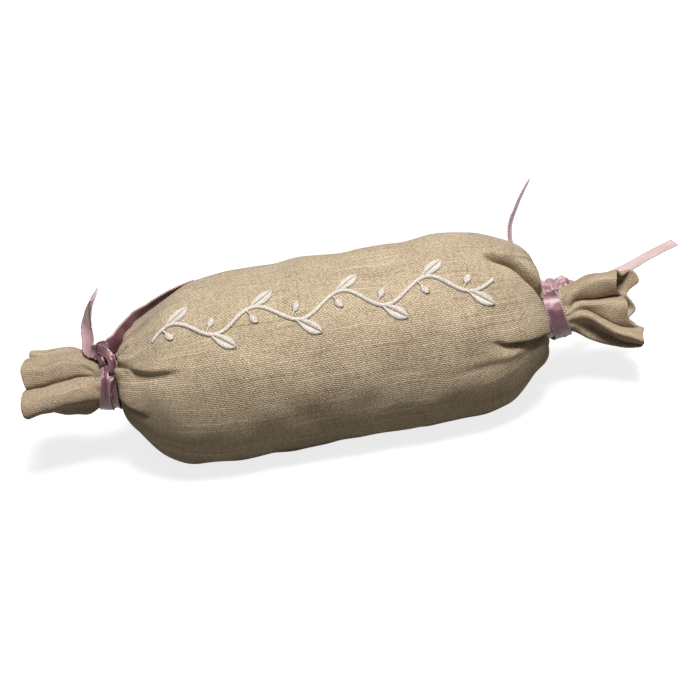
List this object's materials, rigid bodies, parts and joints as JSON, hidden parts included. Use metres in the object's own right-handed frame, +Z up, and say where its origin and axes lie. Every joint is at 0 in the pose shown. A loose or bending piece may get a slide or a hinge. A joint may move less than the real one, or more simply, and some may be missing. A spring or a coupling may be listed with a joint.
{
  "type": "lavender sachet",
  "caption": "Filled linen bolster sachet, gathered and tied at both necks with satin ribbon, with ruffled ends and a white embroidered vine along its front.",
  "frame": {"origin": "middle of the flat patch on which the filled bag rests", "axes": "+X along the bolster, from the crumpled ribbon to the flat one; +Z up; the embroidered side faces -Y"},
  "size_m": [0.2456, 0.0714, 0.0734],
  "materials": {
    "linen": "matte",
    "muslin": "matte",
    "lavender": "matte",
    "thread": "matte",
    "fleece": "matte",
    "satin": "satin"
  },
  "bodies": {
    "bag": {"linen_cover": "linen", "seam_allowance": "linen", "seam_thread": "thread", "inner_bag": "muslin", "inner_bag_tuft": "muslin", "lavender_fill": "lavender", "embroidered_vine": "thread", "embroidery_backing": "fleece", "left_ribbon_turns": "satin", "left_ribbon_knot": "satin", "right_ribbon_turns": "satin", "right_ribbon_knot": "satin"},
    "left_gather": {"left_gather": "linen"},
    "left_ruffle": {"left_ruffle": "linen"},
    "right_gather": {"right_gather": "linen"},
    "right_ruffle": {"right_ruffle": "linen"},
    "left_tail_up": {"left_tail_up": "satin"},
    "left_tail_back": {"left_tail_back": "satin"},
    "right_tail_up": {"right_tail_up": "satin"},
    "right_tail_out": {"right_tail_out": "satin"}
  },
  "joints": [
    {"name": "left_ruffle_swing", "type": "hinge", "parent": "bag", "child": "left_gather", "pos_m": [-0.08369, 0, 0.03282], "axis": [0.0872, 0, 0.9962], "range_deg": [-20, 20], "stiffness_Nm_per_rad": 0.008},
    {"name": "left_ruffle_lift", "type": "hinge", "parent": "left_gather", "child": "left_ruffle", "pos_m": [-0.08369, 0, 0.03282], "axis": [0, 1, 0], "range_deg": [-20, 20], "stiffness_Nm_per_rad": 0.008},
    {"name": "right_ruffle_swing", "type": "hinge", "parent": "bag", "child": "right_gather", "pos_m": [0.08363, 0, 0.02829], "axis": [0.1908, 0, 0.9816], "range_deg": [-20, 20], "stiffness_Nm_per_rad": 0.008},
    {"name": "right_ruffle_lift", "type": "hinge", "parent": "right_gather", "child": "right_ruffle", "pos_m": [0.08363, 0, 0.02829], "axis": [0, -1, 0], "range_deg": [-20, 20], "stiffness_Nm_per_rad": 0.008},
    {"name": "left_tail_up_flex", "type": "hinge", "parent": "bag", "child": "left_tail_up", "pos_m": [-0.08218, -0.00241, 0.04643], "axis": [-0.082, 0.9774, 0.1951], "range_deg": [-15, 15], "stiffness_Nm_per_rad": 0.0003},
    {"name": "left_tail_back_flex", "type": "hinge", "parent": "bag", "child": "left_tail_back", "pos_m": [-0.07739, -0.0027, 0.04762], "axis": [0.014, -0.9909, -0.134], "range_deg": [0, 35], "stiffness_Nm_per_rad": 0.0003},
    {"name": "right_tail_up_flex", "type": "hinge", "parent": "bag", "child": "right_tail_up", "pos_m": [0.07993, 0.01541, 0.03536], "axis": [-0.174, 0.369, -0.913], "range_deg": [-6, 20], "stiffness_Nm_per_rad": 0.0003},
    {"name": "right_tail_out_flex", "type": "hinge", "parent": "bag", "child": "right_tail_out", "pos_m": [0.0844, 0.01391, 0.03387], "axis": [0.225, -0.366, 0.903], "range_deg": [-4, 20], "stiffness_Nm_per_rad": 0.0003}
  ]
}
